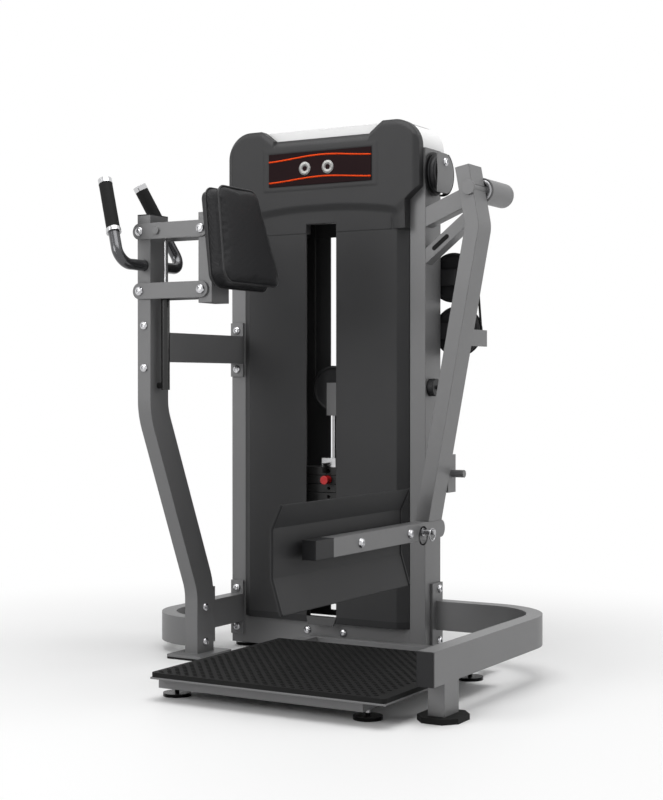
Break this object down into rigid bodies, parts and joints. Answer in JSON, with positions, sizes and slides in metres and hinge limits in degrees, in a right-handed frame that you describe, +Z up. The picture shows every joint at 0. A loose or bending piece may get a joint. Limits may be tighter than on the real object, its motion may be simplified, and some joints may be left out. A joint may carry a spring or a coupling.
{
  "type": "glute kickback machine",
  "caption": "Standing glute kickback machine with a pivoting kick arm and push panel, a shrouded weight stack tower, a tilting chest pad with raised grips, a step platform and a side rail.",
  "frame": {"origin": "middle of the machine's footprint, on the floor", "axes": "+Z up, +Y from the step's front edge to the back of the tower, +X from the chest pad's post towards the kick arm"},
  "size_m": [1.315, 0.99, 1.595],
  "materials": {
    "frame_paint": "satin powder coat",
    "shroud": "fine matte",
    "placard": "smooth print",
    "cap": "smooth",
    "tube_cap": "matte",
    "foot_rubber": "moulded",
    "mat": "studded",
    "chrome": "polished",
    "steel": "turned",
    "plates": "black coat",
    "bearing": "turned",
    "knob_red": "gloss",
    "knob_black": "moulded",
    "pulley": "moulded",
    "belt": "woven core",
    "cover": "fine grained",
    "grip": "ribbed",
    "bar": "gloss",
    "gas_body": "gloss black",
    "gas_piston": "polished"
  },
  "bodies": {
    "frame": {"upright_right": "frame_paint", "upright_left": "frame_paint", "tower_beams": "frame_paint", "front_post": "frame_paint", "post_beams": "frame_paint", "side_rail": "frame_paint", "left_rail": "frame_paint", "tube_caps": "tube_cap", "rubber_feet": "foot_rubber", "step_mat": "mat", "platform_frame": "frame_paint", "levelling_feet": "foot_rubber", "front_shroud_sides": "shroud", "rear_shroud_sides": "shroud", "rear_head_cover": "shroud", "front_head_cover": "shroud", "placard": "placard", "top_cap": "cap", "guide_rods": "chrome", "stack_cushions": "foot_rubber", "lower_plates": "plates", "pulley_brackets": "frame_paint", "side_cable": "belt", "boom": "frame_paint", "pivot_housing": "frame_paint", "pivot_bearings": "bearing", "post_link_pins": "steel", "handlebar": "bar", "handle_grips": "grip", "handle_collars": "chrome", "gas_tube": "gas_body", "storage_peg": "frame_paint", "frame_bolts": "chrome", "belt_strands": "belt"},
    "stack": {"lifted_plates": "plates", "selector_stem": "chrome", "pin_lanyard": "belt", "float_fork": "frame_paint"},
    "pin": {"selector_pin": "knob_red"},
    "float": {"floating_pulley": "pulley"},
    "crown_left": {"crown_pulley_left": "pulley"},
    "crown_right": {"crown_pulley_right": "pulley"},
    "side_high": {"side_pulley_high": "pulley"},
    "side_low": {"side_pulley_low": "pulley"},
    "guard": {"guard_pulley": "pulley"},
    "arm": {"kick_arm": "frame_paint", "arm_shaft": "steel", "push_bar": "frame_paint", "bar_plug": "tube_cap", "push_panel": "knob_black", "panel_bolts": "chrome"},
    "release": {"pull_pin": "steel"},
    "upper": {"upper_links": "frame_paint"},
    "lower": {"lower_links": "frame_paint"},
    "pad": {"pad_column": "frame_paint", "pad_board": "knob_black", "chest_pad": "cover", "column_link_pins": "steel"},
    "gas": {"gas_rod": "gas_piston"},
    "knob": {"lock_knob": "knob_black"}
  },
  "joints": [
    {"name": "arm_swing", "type": "hinge", "parent": "frame", "child": "arm", "pos_m": [0.411, 0.338, 1.372], "axis": [0, -1, 0], "range_deg": [0, 50]},
    {"name": "stack_lift", "type": "slide", "parent": "frame", "child": "stack", "axis": [0, 0, 1], "range_m": [0, 0.44], "deforming": ["belt_strands"]},
    {"name": "selector_pull", "type": "slide", "parent": "stack", "child": "pin", "axis": [0, -1, 0], "range_m": [0, 0.045]},
    {"name": "floating_pulley_spin", "type": "hinge", "parent": "stack", "child": "float", "pos_m": [-0.107, 0.393, 0.806], "axis": [0, 1, 0], "continuous": true},
    {"name": "crown_left_spin", "type": "hinge", "parent": "frame", "child": "crown_left", "pos_m": [-0.147, 0.393, 1.385], "axis": [0, 1, 0], "continuous": true},
    {"name": "crown_right_spin", "type": "hinge", "parent": "frame", "child": "crown_right", "pos_m": [-0.067, 0.393, 1.385], "axis": [0, 1, 0], "continuous": true},
    {"name": "side_high_spin", "type": "hinge", "parent": "frame", "child": "side_high", "pos_m": [0.263, 0.468, 1.136], "axis": [0, 1, 0], "continuous": true},
    {"name": "side_low_spin", "type": "hinge", "parent": "frame", "child": "side_low", "pos_m": [0.2758, 0.468, 0.977], "axis": [0, 1, 0], "continuous": true},
    {"name": "guard_pulley_spin", "type": "hinge", "parent": "frame", "child": "guard", "pos_m": [0.253, 0.388, 1.437], "axis": [1, 0, 0], "continuous": true},
    {"name": "release_pull", "type": "slide", "parent": "arm", "child": "release", "axis": [1, 0, 0], "range_m": [0, 0.012], "stiffness_N_per_m": 400},
    {"name": "upper_link_swing", "type": "hinge", "parent": "frame", "child": "upper", "pos_m": [-0.4346, -0.1055, 1.255], "axis": [0, -1, 0], "range_deg": [-15, 20]},
    {"name": "lower_link_swing", "type": "hinge", "parent": "frame", "child": "lower", "pos_m": [-0.4346, -0.1055, 1.085], "axis": [0, -1, 0], "range_deg": [-15, 20]},
    {"name": "pad_level", "type": "hinge", "parent": "upper", "child": "pad", "pos_m": [-0.2221, -0.1055, 1.255], "axis": [0, -1, 0], "range_deg": [-20, 15]},
    {"name": "gas_rod_slide", "type": "slide", "parent": "frame", "child": "gas", "axis": [0, 0, 1], "range_m": [-0.016, 0.021]},
    {"name": "lock_knob_turn", "type": "hinge", "parent": "frame", "child": "knob", "pos_m": [0.231, 0.37133, 0.81], "axis": [1, 0, 0], "continuous": true}
  ],
  "couplings": [
    {"joint": "stack_lift", "follows": "arm_swing", "m_per_rad": 0.5},
    {"joint": "lower_link_swing", "follows": "upper_link_swing", "ratio": 1},
    {"joint": "pad_level", "follows": "upper_link_swing", "ratio": -1},
    {"joint": "gas_rod_slide", "follows": "upper_link_swing", "m_per_rad": 0.0596}
  ]
}
